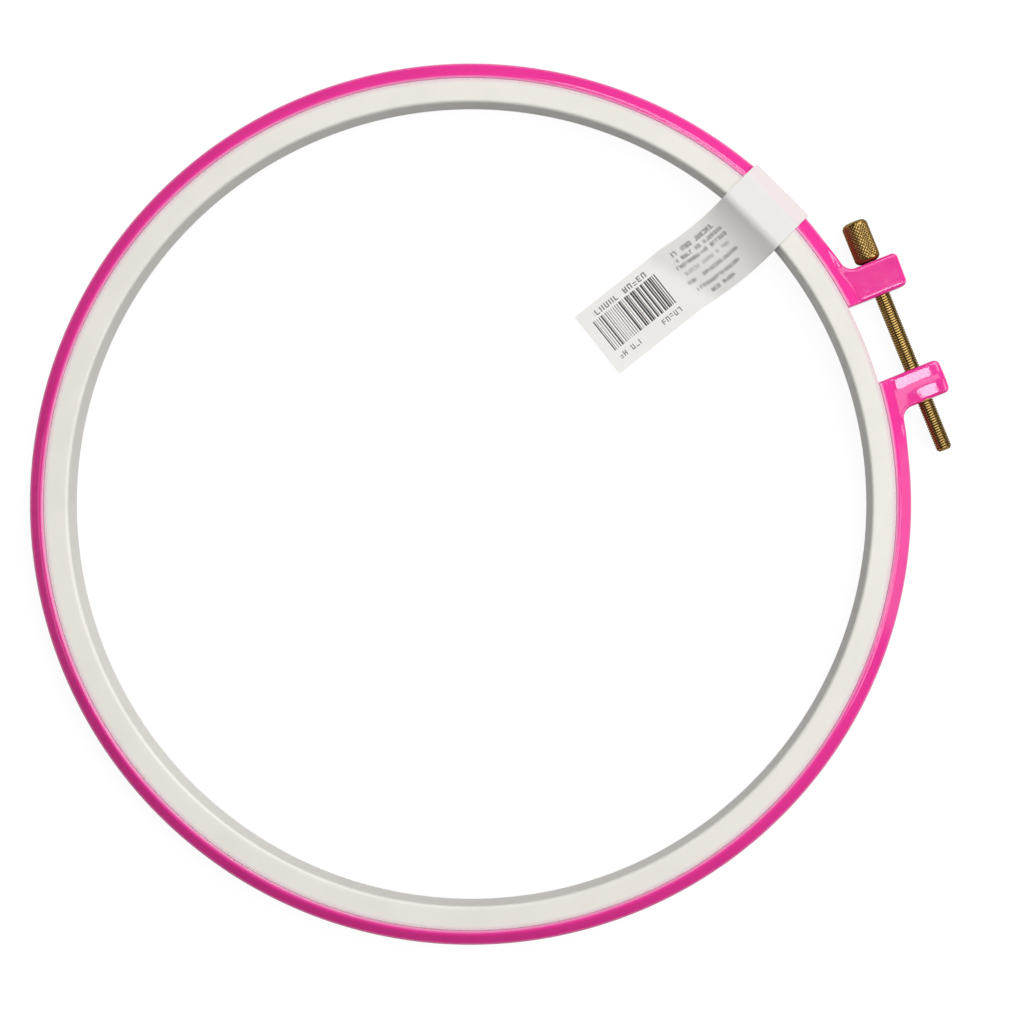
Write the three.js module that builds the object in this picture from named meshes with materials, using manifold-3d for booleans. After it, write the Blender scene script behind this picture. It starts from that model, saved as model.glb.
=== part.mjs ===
// Screw-clamp embroidery hoop with a ten-inch opening, one mesh for each piece.
// Millimetres, +Z up. The hoop lies flat with its clamp along +X and the screw's head towards +Y.
// The origin is the middle of the whole footprint, on the surface that the hoop lies on.
import * as THREE from "three";
import { mergeVertices } from "three/addons/utils/BufferGeometryUtils.js";
import Module from "manifold-3d";

// Rings
const BORE_DIAMETER = 254;
const RING_HEIGHT = 10;
const INNER_RING_WIDTH = 7.6;
const OUTER_RING_WIDTH = 5.3;
const RING_CLEARANCE = 0.3;
const BORE_LIP_RADIUS = 1;
const INNER_RING_EDGE = 0.5;
const CREST_WIDTH = 1.2;
const CREST_BLEND = 0.6;
const TOP_SLOPE_DEGREES = 35;
const TOP_EDGE_RADIUS = 1.1;
const SEAM_EDGE_RADIUS = 0.5;
const BASE_EDGE_RADIUS = 0.6;

// Clamp lugs of the outer ring
const CLAMP_GAP = 25.4;
const LUG_THICKNESS = 11;
const LUG_REACH = 14.8;
const LUG_HEIGHT = 8.4;
const LUG_CORNER_RADIUS = 1.8;
const LUG_ROOT_RADIUS = 3.8;
const LUG_RUNOUT = 15;
const TOP_BLEND = 0.8;

// Clamp screw
const SCREW_OFFSET = 6.6;
const SCREW_DIAMETER = 5;
const SCREW_TIP_REACH = 16.9;
const SCREW_TIP_CHAMFER = 0.8;
const SCREW_HOLE_CLEARANCE = 0.3;
const HEAD_DIAMETER = 8.2;
const HEAD_LENGTH = 13.7;
const HEAD_END_RADIUS = 1.2;
const HEAD_SEAT_GAP = 0.3;
const KNURL_DEPTH = 0.3;
const KNURL_PITCH_AROUND = 1.15;
const KNURL_PITCH_ALONG = 1.5;

// Threaded insert in the lower lug
const INSERT_LENGTH = 8;
const INSERT_WALL = 0.55;
const INSERT_CHAMFER = 0.3;
const INSERT_GROOVE_WIDTH = 1.8;
const INSERT_GROOVE_DEPTH = 0.2;
const INSERT_CLEARANCE = 0.15;
const THREAD_CLEARANCE = 0.15;

// Hang tag: one strip of paper round both rings, with its ends joined as a tail
const TAG_ANGLE_DEGREES = 23.2;
const TAG_WIDTH = 23.2;
const TAG_PLY = 0.25;
const TAG_CLEARANCE = 0.3;
const TAG_TAIL_REACH = 61.7;
const TAG_TURN_DEGREES = 6.8;
const TAG_RAMP = 27;
const TAG_KNEE_RUN = 3.6;
const TAG_KNEE_HEIGHT = 6.6;
const TAG_FOLD_RADIUS = 1.2;
const TAG_SHOULDER_RADIUS = 3;
const TAG_KNEE_RADIUS = 5;
const TAG_FLOOR_RADIUS = 16;

// Fineness of the facets
const RING_STEPS = 120;
const ROUND_STEPS = 3;
const ROOT_STEPS = 5;
const TOP_STEPS = 8;
const TOP_CROWDING = 1.6;
const TURNED_STEPS = 24;
const WELD = 1e-4;

// Places worked out from the sizes above
const boreRadius = BORE_DIAMETER / 2;
const innerRingRadius = boreRadius + INNER_RING_WIDTH;
const outerBore = innerRingRadius + RING_CLEARANCE;
const outerRadius = outerBore + OUTER_RING_WIDTH;
const lugEnd = outerRadius + LUG_REACH;
const gapFace = CLAMP_GAP / 2;
const lugFace = gapFace + LUG_THICKNESS;
const screwX = outerRadius + SCREW_OFFSET;
const screwZ = LUG_HEIGHT / 2;
const screwRadius = SCREW_DIAMETER / 2;
const insertBore = screwRadius + THREAD_CLEARANCE;
const insertRadius = insertBore + INSERT_WALL;
const topSlope = Math.tan(THREE.MathUtils.degToRad(TOP_SLOPE_DEGREES));
const ringEdgeHeight = RING_HEIGHT - topSlope * (OUTER_RING_WIDTH - CREST_WIDTH);
const sunkShelf = ringEdgeHeight - TOP_BLEND;

const wasm = await Module();
wasm.setup();

// A closed geometry as a solid for booleans, and a solid as a geometry again.
function toSolid(geometry) {
  const bare = geometry.clone();
  bare.deleteAttribute("normal");
  bare.deleteAttribute("uv");
  const merged = mergeVertices(bare, WELD);
  const vertProperties = merged.attributes.position.array;
  const triVerts = new Uint32Array(merged.index.array);
  return new wasm.Manifold(new wasm.Mesh({ numProp: 3, vertProperties, triVerts }));
}

function toGeometry(solid) {
  const mesh = solid.getMesh();
  const geometry = new THREE.BufferGeometry();
  geometry.setAttribute("position", new THREE.BufferAttribute(mesh.vertProperties, 3));
  geometry.setIndex(new THREE.BufferAttribute(mesh.triVerts, 1));
  geometry.computeVertexNormals();
  return geometry;
}

// Angles from 0 to a quarter turn, for edges that are rounded over.
const quarter = Array.from({ length: ROUND_STEPS + 1 }, (_, k) => (k / ROUND_STEPS) * (Math.PI / 2));
const quarterBack = [...quarter].reverse();

const polar = (radius, angle) => new THREE.Vector2(radius * Math.cos(angle), radius * Math.sin(angle));
const raise = (point, z) => new THREE.Vector3(point.x, point.y, z);

// Corners are [x, y, radius]. Each one becomes an arc of that radius, or stays sharp at radius 0.
function roundCorners(corners, steps) {
  return corners.flatMap(([x, y, radius], i) => {
    const corner = new THREE.Vector2(x, y);
    if (!radius) return [corner];
    const [beforeX, beforeY] = corners.at(i - 1);
    const [afterX, afterY] = corners[(i + 1) % corners.length];
    const back = new THREE.Vector2(beforeX - x, beforeY - y).normalize();
    const ahead = new THREE.Vector2(afterX - x, afterY - y).normalize();
    const half = Math.acos(back.dot(ahead)) / 2;
    const start = corner.clone().addScaledVector(back, radius / Math.tan(half));
    const middle = back.clone().add(ahead).normalize();
    const centre = corner.clone().addScaledVector(middle, radius / Math.sin(half));
    const sweep = -Math.sign(back.cross(ahead)) * (Math.PI - 2 * half);
    const arc = Array.from({ length: steps + 1 }, (_, k) => (sweep * k) / steps);
    return arc.map((angle) => start.clone().rotateAround(centre, angle));
  });
}

// The same corners moved inwards, for an outline that runs anticlockwise.
function insetCorners(corners, distance) {
  const count = corners.length;
  const edges = corners.map(([x, y], i) => {
    const [nextX, nextY] = corners[(i + 1) % count];
    const along = new THREE.Vector2(nextX - x, nextY - y).normalize();
    const inward = new THREE.Vector2(-along.y, along.x);
    return { start: new THREE.Vector2(x, y).addScaledVector(inward, distance), along };
  });
  return corners.map(([, , radius], i) => {
    const before = edges[(i + count - 1) % count];
    const after = edges[i];
    const turn = before.along.cross(after.along);
    const shift = after.start.clone().sub(before.start).cross(after.along) / turn;
    const point = before.start.clone().addScaledVector(before.along, shift);
    return [point.x, point.y, Math.max(radius - Math.sign(turn) * distance, 0)];
  });
}

// A closed skin over a row of loops with equally many points, with a fan over each end.
function skin(loops) {
  const width = loops[0].length;
  const points = loops.flat();
  const faces = [];
  for (let i = 0; i + 1 < loops.length; i++) {
    for (let j = 0; j < width; j++) {
      const next = (j + 1) % width;
      const [a, d] = [i * width + j, i * width + next];
      const [b, c] = [a + width, d + width];
      const shortAC = points[a].distanceTo(points[c]) < points[b].distanceTo(points[d]);
      faces.push(...(shortAC ? [a, b, c, a, c, d] : [a, b, d, b, c, d]));
    }
  }
  const addEnd = (loop, first, forward) => {
    const middle = loop.reduce((sum, p) => sum.add(p), new THREE.Vector3()).divideScalar(width);
    const hub = points.push(middle) - 1;
    for (let j = 0; j < width; j++) {
      const pair = [first + j, first + ((j + 1) % width)];
      faces.push(hub, ...(forward ? pair : pair.reverse()));
    }
  };
  addEnd(loops[0], 0, true);
  addEnd(loops.at(-1), (loops.length - 1) * width, false);
  return new THREE.BufferGeometry().setFromPoints(points).setIndex(faces);
}

// A profile of [radius, height] turned about Z.
const turnedUpright = (profile) => new THREE.LatheGeometry(profile, RING_STEPS).rotateX(Math.PI / 2);

function innerRingGeometry() {
  const profile = roundCorners(
    [
      [boreRadius, 0, INNER_RING_EDGE],
      [innerRingRadius, 0, INNER_RING_EDGE],
      [innerRingRadius, RING_HEIGHT, INNER_RING_EDGE],
      [boreRadius, RING_HEIGHT, BORE_LIP_RADIUS],
    ],
    ROUND_STEPS,
  );
  return turnedUpright([...profile, profile[0]]);
}

// What is over 0, with a smooth start over the blend on each side of it.
function softOver(value, blend) {
  if (value <= -blend) return 0;
  return value >= blend ? value : (value + blend) ** 2 / (4 * blend);
}

// Top of the outer moulding: a level crest at the seam, then a slope down to a shelf, if it gets that far.
function crownHeight(radius, shelf) {
  const slope = RING_HEIGHT - topSlope * softOver(radius - outerBore - CREST_WIDTH, CREST_BLEND);
  return shelf + softOver(slope - shelf, TOP_BLEND);
}

// Stations along the plan outline of half the outer ring, from the gap face round to the far side.
// Each has its outline point, the direction into the material, its angle on the bore wall,
// how far (1 to 0) it lies in the rounded edge of the gap face, and the height of the lug's shelf,
// which sinks out of sight along the ring.
function outerRingStations() {
  const gapRound = quarter.map((angle) => {
    const y = gapFace + TOP_EDGE_RADIUS * (1 - Math.cos(angle));
    const short = Math.max(LUG_CORNER_RADIUS - (y - gapFace), 0);
    const x = lugEnd - LUG_CORNER_RADIUS + Math.sqrt(LUG_CORNER_RADIUS ** 2 - short ** 2);
    const outline = new THREE.Vector2(x, y);
    const inward = new THREE.Vector2(-1, 0);
    const bore = Math.asin(y / outerBore);
    return { outline, inward, bore, ease: 1 - Math.sin(angle), shelf: LUG_HEIGHT };
  });

  const cornerCentre = new THREE.Vector2(lugEnd - LUG_CORNER_RADIUS, lugFace - LUG_CORNER_RADIUS);
  const corner = quarter.map((angle) => ({
    outline: polar(LUG_CORNER_RADIUS, angle).add(cornerCentre),
    inward: polar(-1, angle),
  }));

  const rootY = lugFace + LUG_ROOT_RADIUS;
  const rootX = Math.sqrt((outerRadius + LUG_ROOT_RADIUS) ** 2 - rootY ** 2);
  const rootCentre = new THREE.Vector2(rootX, rootY);
  const rootAngle = rootCentre.angle();
  const root = Array.from({ length: ROOT_STEPS }, (_, k) => {
    const turn = THREE.MathUtils.lerp(1.5 * Math.PI, Math.PI + rootAngle, k / ROOT_STEPS);
    return { outline: polar(LUG_ROOT_RADIUS, turn).add(rootCentre), inward: polar(1, turn) };
  });

  const faceMiddle = corner.at(-1).outline.clone().lerp(root[0].outline, 0.5);
  const face = [{ outline: faceMiddle, inward: new THREE.Vector2(0, -1) }];
  const flank = [...corner, ...face, ...root];
  const firstBore = gapRound.at(-1).bore;
  flank.forEach((station, k) => {
    station.bore = THREE.MathUtils.lerp(firstBore, rootAngle, (k + 1) / (flank.length + 1));
    station.ease = 0;
    station.shelf = LUG_HEIGHT;
  });

  const ringSteps = Math.round((RING_STEPS * (Math.PI - rootAngle)) / (2 * Math.PI));
  const ring = Array.from({ length: ringSteps + 1 }, (_, k) => {
    const bore = THREE.MathUtils.lerp(rootAngle, Math.PI, k / ringSteps);
    const run = (bore - rootAngle) * outerRadius;
    const shelf = THREE.MathUtils.lerp(LUG_HEIGHT, sunkShelf, THREE.MathUtils.smoothstep(run, 0, LUG_RUNOUT));
    return { outline: polar(outerRadius, bore), inward: polar(-1, bore), bore, ease: 0, shelf };
  });
  return [...gapRound, ...flank, ...ring];
}

// The closed section of the outer ring at one station: base, outer wall, sloping top, bore wall.
function outerRingLoop({ outline, inward, bore, ease, shelf }) {
  const wall = polar(outerBore, bore);
  const floor = BASE_EDGE_RADIUS * ease;
  const sink = TOP_EDGE_RADIUS * ease;
  const fromOutline = (radius, angle) =>
    outline.clone().addScaledVector(inward, radius * (1 - Math.cos(angle)));
  const brow = fromOutline(TOP_EDGE_RADIUS, Math.PI / 2);
  const across = brow.clone().sub(wall).normalize();
  const fromWall = (distance) => wall.clone().addScaledVector(across, distance);
  const top = (point, drop) => raise(point, crownHeight(point.length(), shelf) - drop - sink);

  const base = [raise(wall, BASE_EDGE_RADIUS + floor), raise(fromWall(BASE_EDGE_RADIUS), floor)];
  const baseEdge = quarterBack.map((angle) =>
    raise(fromOutline(BASE_EDGE_RADIUS, angle), BASE_EDGE_RADIUS * (1 - Math.sin(angle)) + floor),
  );
  const topEdge = quarter.map((angle) =>
    top(fromOutline(TOP_EDGE_RADIUS, angle), TOP_EDGE_RADIUS * (1 - Math.sin(angle))),
  );
  const seam = fromWall(SEAM_EDGE_RADIUS);
  const slope = Array.from({ length: TOP_STEPS - 1 }, (_, k) =>
    top(seam.clone().lerp(brow, (1 - (k + 1) / TOP_STEPS) ** TOP_CROWDING), 0),
  );
  const seamEdge = quarterBack.map((angle) =>
    top(
      fromWall(SEAM_EDGE_RADIUS * (1 - Math.cos(angle))),
      SEAM_EDGE_RADIUS * (1 - Math.sin(angle)),
    ),
  );
  return [...base, ...baseEdge, ...topEdge, ...slope, ...seamEdge];
}

// A round cutter along Y through the screw's axis, between two places on that axis.
function screwCutter(radius, fromY, toY) {
  const cutter = new THREE.CylinderGeometry(radius, radius, toY - fromY, TURNED_STEPS);
  return toSolid(cutter.translate(screwX, (fromY + toY) / 2, screwZ));
}

function outerRingGeometry() {
  const upper = outerRingStations().map(outerRingLoop);
  const mirrored = upper.map((loop) => loop.map((p) => new THREE.Vector3(p.x, -p.y, p.z)));
  const lower = mirrored.reverse().slice(1);
  const throughReach = lugFace + LUG_THICKNESS;
  const hole = screwCutter(screwRadius + SCREW_HOLE_CLEARANCE, -throughReach, throughReach);
  const pocketEnd = INSERT_LENGTH + INSERT_CLEARANCE - lugFace;
  const pocket = screwCutter(insertRadius + INSERT_CLEARANCE, -throughReach, pocketEnd);
  return toGeometry(toSolid(skin([...upper, ...lower])).subtract(hole).subtract(pocket));
}

// The knurled head stands on y = 0. Peaks and grooves alternate round it and along it.
function knurledHeadGeometry() {
  const radius = HEAD_DIAMETER / 2;
  const columns = 2 * Math.round((Math.PI * HEAD_DIAMETER) / KNURL_PITCH_AROUND);
  const knurlLength = HEAD_LENGTH - 2 * HEAD_END_RADIUS;
  const rows = 2 * Math.round(knurlLength / KNURL_PITCH_ALONG);
  const loopAt = (y, radiusAt) =>
    Array.from({ length: columns }, (_, i) => {
      const point = polar(radiusAt(i), (2 * Math.PI * i) / columns);
      return new THREE.Vector3(point.x, y, point.y);
    });
  const plain = radius - KNURL_DEPTH / 2;
  const endLoops = quarterBack.slice(0, -1).map((angle) => {
    const inset = HEAD_END_RADIUS * (1 - Math.cos(angle));
    return { y: HEAD_END_RADIUS * (1 - Math.sin(angle)), loopRadius: plain - inset };
  });
  const seatEnd = endLoops.map(({ y, loopRadius }) => loopAt(y, () => loopRadius));
  const knurl = Array.from({ length: rows + 1 }, (_, j) =>
    loopAt(HEAD_END_RADIUS + (knurlLength * j) / rows, (i) =>
      (i + j) % 2 ? radius : radius - KNURL_DEPTH,
    ),
  );
  const farEnd = endLoops
    .map(({ y, loopRadius }) => loopAt(HEAD_LENGTH - y, () => loopRadius))
    .reverse();
  return skin([...seatEnd, ...knurl, ...farEnd]);
}

// Head and shank in one piece. The shank hangs from y = 0 down to the chamfered tip.
function clampScrewGeometry() {
  const shankLength = HEAD_SEAT_GAP + 2 * lugFace + SCREW_TIP_REACH;
  const shankProfile = [
    [0, -shankLength],
    [screwRadius - SCREW_TIP_CHAMFER, -shankLength],
    [screwRadius, SCREW_TIP_CHAMFER - shankLength],
    [screwRadius, HEAD_LENGTH / 2],
    [0, HEAD_LENGTH / 2],
  ].map(([x, y]) => new THREE.Vector2(x, y));
  const shank = new THREE.LatheGeometry(shankProfile, TURNED_STEPS);
  return toGeometry(toSolid(knurledHeadGeometry()).add(toSolid(shank)));
}

// A plain bush with a keying groove round its middle, from y = 0 to its length.
function threadedInsertGeometry() {
  const grooveStart = (INSERT_LENGTH - INSERT_GROOVE_WIDTH) / 2;
  const grooveEnd = grooveStart + INSERT_GROOVE_WIDTH;
  const grooveRadius = insertRadius - INSERT_GROOVE_DEPTH;
  const profile = [
    [insertBore, 0],
    [insertRadius - INSERT_CHAMFER, 0],
    [insertRadius, INSERT_CHAMFER],
    [insertRadius, grooveStart],
    [grooveRadius, grooveStart],
    [grooveRadius, grooveEnd],
    [insertRadius, grooveEnd],
    [insertRadius, INSERT_LENGTH - INSERT_CHAMFER],
    [insertRadius - INSERT_CHAMFER, INSERT_LENGTH],
    [insertBore, INSERT_LENGTH],
    [insertBore, 0],
  ].map(([x, y]) => new THREE.Vector2(x, y));
  return new THREE.LatheGeometry(profile, TURNED_STEPS);
}

// The tag's section runs in the plane of X, outwards from the hoop's middle, and Z.
// It goes under both rings, up the outside, over the top, down into the bore and along the tail.
function hangTagGeometry() {
  const bottom = -TAG_CLEARANCE - TAG_PLY;
  const outside = outerRadius + TAG_CLEARANCE + TAG_PLY;
  const top = RING_HEIGHT + TAG_CLEARANCE + TAG_PLY;
  const outsideTop = ringEdgeHeight + TAG_CLEARANCE + TAG_PLY;
  const boreEdge = Math.sqrt(boreRadius ** 2 - (TAG_WIDTH / 2) ** 2) - TAG_CLEARANCE;
  const tailTop = bottom + 2 * TAG_PLY;
  const tailEnd = boreEdge - TAG_TAIL_REACH;
  const rampEnd = boreEdge - TAG_RAMP;
  const overRings = [
    [outside, bottom, TAG_FOLD_RADIUS],
    [outside, outsideTop, TAG_FOLD_RADIUS],
    [outerBore + CREST_WIDTH, top, TAG_SHOULDER_RADIUS],
    [boreEdge, top, TAG_FOLD_RADIUS],
    [boreEdge - TAG_KNEE_RUN, bottom + TAG_KNEE_HEIGHT, TAG_KNEE_RADIUS],
  ];
  const outer = [
    [tailEnd, bottom, 0],
    ...overRings,
    [rampEnd, tailTop, TAG_FLOOR_RADIUS],
    [tailEnd, tailTop, 0],
  ];
  const loop = [...overRings, [rampEnd, bottom, 0]];
  const section = new THREE.Shape(roundCorners(outer, ROUND_STEPS));
  section.holes.push(new THREE.Path(roundCorners(insetCorners(loop, TAG_PLY), ROUND_STEPS)));
  const strip = new THREE.ExtrudeGeometry(section, { depth: TAG_WIDTH, bevelEnabled: false });
  strip.rotateX(Math.PI / 2).translate(0, TAG_WIDTH / 2, 0);
  turnTail(strip, boreEdge);
  return strip;
}

// Swings the tail sideways about the middle of the bore's edge, little by little down the ramp.
function turnTail(strip, boreEdge) {
  const fullTurn = THREE.MathUtils.degToRad(-TAG_TURN_DEGREES);
  const pivot = new THREE.Vector2(boreEdge, 0);
  const spots = strip.attributes.position;
  for (let i = 0; i < spots.count; i++) {
    const share = THREE.MathUtils.clamp((boreEdge - spots.getX(i)) / TAG_RAMP, 0, 1);
    const spot = new THREE.Vector2(spots.getX(i), spots.getY(i)).rotateAround(pivot, fullTurn * share);
    spots.setXY(i, spot.x, spot.y);
  }
}

const pinkPlastic = new THREE.MeshStandardMaterial({ color: 0xe0388f, roughness: 0.25, metalness: 0 });
const whitePlastic = new THREE.MeshStandardMaterial({ color: 0xe9e5de, roughness: 0.4, metalness: 0 });
const screwBrass = new THREE.MeshStandardMaterial({ color: 0xb98f45, roughness: 0.3, metalness: 1 });
const insertBrass = new THREE.MeshStandardMaterial({ color: 0xc79f55, roughness: 0.4, metalness: 1 });
const labelPaper = new THREE.MeshStandardMaterial({ color: 0xf1efea, roughness: 0.7, metalness: 0 });

function addPiece(parent, name, geometry, material) {
  const piece = new THREE.Mesh(geometry, material);
  piece.name = name;
  parent.add(piece);
  return piece;
}

const hoop = new THREE.Group();
hoop.position.set(-LUG_REACH / 2, 0, TAG_PLY + TAG_CLEARANCE);

addPiece(hoop, "outer_ring", outerRingGeometry(), pinkPlastic);
addPiece(hoop, "inner_ring", innerRingGeometry(), whitePlastic);
addPiece(hoop, "clamp_screw", clampScrewGeometry(), screwBrass)
  .position.set(screwX, lugFace + HEAD_SEAT_GAP, screwZ);
addPiece(hoop, "threaded_insert", threadedInsertGeometry(), insertBrass)
  .position.set(screwX, -lugFace, screwZ);
addPiece(hoop, "hang_tag", hangTagGeometry(), labelPaper)
  .rotation.z = THREE.MathUtils.degToRad(TAG_ANGLE_DEGREES);

const object = new THREE.Group();
object.add(hoop);

export default object;
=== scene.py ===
"""Looks of a round screw-clamp embroidery hoop with a paper hang tag, in metres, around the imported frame."""

import logging
import math
from collections.abc import Sequence
from dataclasses import dataclass
from enum import Enum

import bmesh
import bpy
import numpy as np
from mathutils import Matrix, Quaternion, Vector


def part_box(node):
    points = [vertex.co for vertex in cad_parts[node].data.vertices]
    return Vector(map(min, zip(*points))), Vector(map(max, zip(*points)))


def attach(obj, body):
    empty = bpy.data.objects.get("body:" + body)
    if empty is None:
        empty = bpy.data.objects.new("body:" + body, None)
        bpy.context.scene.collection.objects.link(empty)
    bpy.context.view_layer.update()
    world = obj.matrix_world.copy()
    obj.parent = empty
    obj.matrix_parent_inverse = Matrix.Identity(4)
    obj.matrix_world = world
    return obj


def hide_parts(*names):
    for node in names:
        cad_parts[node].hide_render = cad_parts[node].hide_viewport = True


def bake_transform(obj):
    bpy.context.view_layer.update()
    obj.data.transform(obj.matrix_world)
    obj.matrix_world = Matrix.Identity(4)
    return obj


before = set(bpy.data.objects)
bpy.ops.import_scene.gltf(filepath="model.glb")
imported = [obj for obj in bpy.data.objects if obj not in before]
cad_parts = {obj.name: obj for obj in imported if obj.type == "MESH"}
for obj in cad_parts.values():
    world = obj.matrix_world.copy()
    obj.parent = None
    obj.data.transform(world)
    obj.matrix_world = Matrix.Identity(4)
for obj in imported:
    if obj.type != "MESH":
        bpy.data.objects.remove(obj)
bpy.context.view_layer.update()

log = logging.getLogger("hoop")

Colour = tuple[float, float, float]
Span = tuple[float, float]
Socket = bpy.types.NodeSocket
Source = Socket | float | tuple[float, ...]

WHITE: Colour = (1.0, 1.0, 1.0)
BLACK: Colour = (0.0, 0.0, 0.0)
GROOVE_MARK = "groove"
PAPER_CHART = "paper"


class Body(Enum):
    """Bodies of the frame that the pieces move with."""

    OUTER_RING = "outer_ring"
    INNER_RING = "inner_ring"
    SCREW_NUT = "screw_nut"
    CLAMP_SCREW = "clamp_screw"


class Print(Enum):
    """Kinds of plain printing on the hang tag."""

    BARS = "bars"
    WORDS = "words"


def full_turn(steps: int) -> np.ndarray:
    """Gives the angles of equal steps round a whole turn, from 0."""
    return np.linspace(0.0, 2 * math.pi, steps, endpoint=False)


def quarter_turn(steps: int) -> np.ndarray:
    """Gives the angles of equal steps from 0 to a quarter turn, for edges that are rounded over."""
    return np.linspace(0.0, math.pi / 2, steps + 1)


def polar(radius: float, angle: float) -> np.ndarray:
    """Gives the plan point at a radius and an angle."""
    return np.array((radius * math.cos(angle), radius * math.sin(angle)))


def swing(
    x: np.ndarray | float, y: np.ndarray | float, angle: np.ndarray | float
) -> tuple[np.ndarray, np.ndarray]:
    """Turns plan points about the origin by an angle."""
    return x * np.cos(angle) - y * np.sin(angle), x * np.sin(angle) + y * np.cos(angle)


def soft_over(value: np.ndarray, blend: float) -> np.ndarray:
    """Gives what of a value is over 0, with a smooth start a blend's length to each side of it."""
    inside = np.clip(value, -blend, blend)
    return (inside + blend) ** 2 / (4 * blend) + np.maximum(value - blend, 0.0)


def smooth_step(value: np.ndarray | float, low: float, high: float) -> np.ndarray | float:
    """Rises smoothly from 0 at the low limit to 1 at the high one."""
    share = np.clip((value - low) / (high - low), 0.0, 1.0)
    return share * share * (3 - 2 * share)


def axis_loop(y: float, radius: np.ndarray) -> np.ndarray:
    """Draws one loop about the screw's axis.

    Args:
        y: Place on the axis.
        radius: Radius at each equal step round the axis.

    Returns:
        The loop's points, one in a row.
    """
    turns = full_turn(len(radius))
    return np.column_stack((radius * np.sin(turns), np.full_like(radius, y), radius * np.cos(turns)))


def rounded_path(
    corners: Sequence[tuple[float, float, float]], steps: int, runs: Sequence[int], closed: bool = False
) -> np.ndarray:
    """Turns corners into a smooth path, each one an arc of its own radius.

    Args:
        corners: Corner points with the radius of each, or 0 for a sharp corner.
        steps: Steps in each arc.
        runs: Steps in the straight run after each corner.
        closed: Whether the last corner leads back to the first.

    Returns:
        The points of the path, one in a row.
    """
    count = len(corners)
    arcs: list[np.ndarray] = []
    for i, (x, y, radius) in enumerate(corners):
        corner = np.array((x, y))
        if not radius:
            arcs.append(corner[None])
            continue
        back = np.array(corners[i - 1][:2]) - corner
        ahead = np.array(corners[(i + 1) % count][:2]) - corner
        back /= np.linalg.norm(back)
        ahead /= np.linalg.norm(ahead)
        half = math.acos(float(np.clip(back @ ahead, -1, 1))) / 2
        middle = (back + ahead) / np.linalg.norm(back + ahead)
        centre = corner + middle * radius / math.sin(half)
        start = corner + back * radius / math.tan(half) - centre
        turn = -math.copysign(math.pi - 2 * half, back[0] * ahead[1] - back[1] * ahead[0])
        arcs.append(centre + np.column_stack(swing(start[0], start[1], np.linspace(0.0, turn, steps + 1))))
    points: list[np.ndarray] = []
    for i, arc in enumerate(arcs):
        points.extend(arc)
        if i + 1 < count or closed:
            after = arcs[(i + 1) % count][0]
            shares = np.linspace(0.0, 1.0, runs[i] + 1)[1:-1, None]
            points.extend(arc[-1] + (after - arc[-1]) * shares)
    return np.array(points)


class MeshSketch:
    """Points and faces of one mesh while it is being drawn."""

    def __init__(self) -> None:
        """Starts with an empty sketch."""
        self.points: list[np.ndarray] = []
        self.faces: list[list[int]] = []
        self.count = 0

    def loop(self, points: np.ndarray) -> np.ndarray:
        """Adds a closed loop of points.

        Args:
            points: The loop's points in order, one in a row.

        Returns:
            The numbers of the new points.
        """
        numbers = np.arange(self.count, self.count + len(points))
        self.points.append(points)
        self.count += len(points)
        return numbers

    def band(self, near: np.ndarray, far: np.ndarray) -> None:
        """Joins two loops of equally many points by a band of quads."""
        quads = np.column_stack((near, far, np.roll(far, -1), np.roll(near, -1)))
        self.faces += quads.tolist()

    def fan_band(self, coarse: np.ndarray, fine: np.ndarray) -> None:
        """Joins a loop to one that has a whole number of times its points.

        Args:
            coarse: Point numbers of the loop with fewer points.
            fine: Point numbers of the loop with more points.
        """
        share = len(fine) // len(coarse)
        for k in range(len(coarse)):
            run = [int(fine[(k * share + s) % len(fine)]) for s in range(share + 1)]
            self.faces.append([int(coarse[k]), *run, int(coarse[(k + 1) % len(coarse)])])

    def loft(self, loops: Sequence[np.ndarray], ring: bool = False, open_start: bool = False) -> np.ndarray:
        """Draws a skin over a row of loops with equally many points.

        Args:
            loops: The loops in order.
            ring: Whether the last loop joins the first, with no end caps.
            open_start: Whether the first loop stays without its cap.

        Returns:
            Point numbers of the first loop.
        """
        numbers = [self.loop(points) for points in loops]
        for near, far in zip(numbers, numbers[1:]):
            self.band(near, far)
        if ring:
            self.band(numbers[-1], numbers[0])
            return numbers[0]
        if not open_start:
            self.faces.append(numbers[0].tolist())
        self.faces.append(numbers[-1].tolist())
        return numbers[0]

    def build(self, name: str, crease: float) -> bpy.types.Object:
        """Makes the drawn mesh as an object of the scene.

        Args:
            name: Name of the piece.
            crease: Angle between faces, in degrees, above which an edge stays sharp.

        Returns:
            The new object, at the frame's origin.
        """
        mesh = bpy.data.meshes.new(name)
        mesh.from_pydata(np.concatenate(self.points).tolist(), [], self.faces)
        shell = bmesh.new()
        shell.from_mesh(mesh)
        bmesh.ops.recalc_face_normals(shell, faces=shell.faces)
        shell.to_mesh(mesh)
        shell.free()
        mesh.shade_smooth()
        mesh.set_sharp_from_angle(angle=math.radians(crease))
        piece = bpy.data.objects.new(name, mesh)
        bpy.context.scene.collection.objects.link(piece)
        return piece


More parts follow.
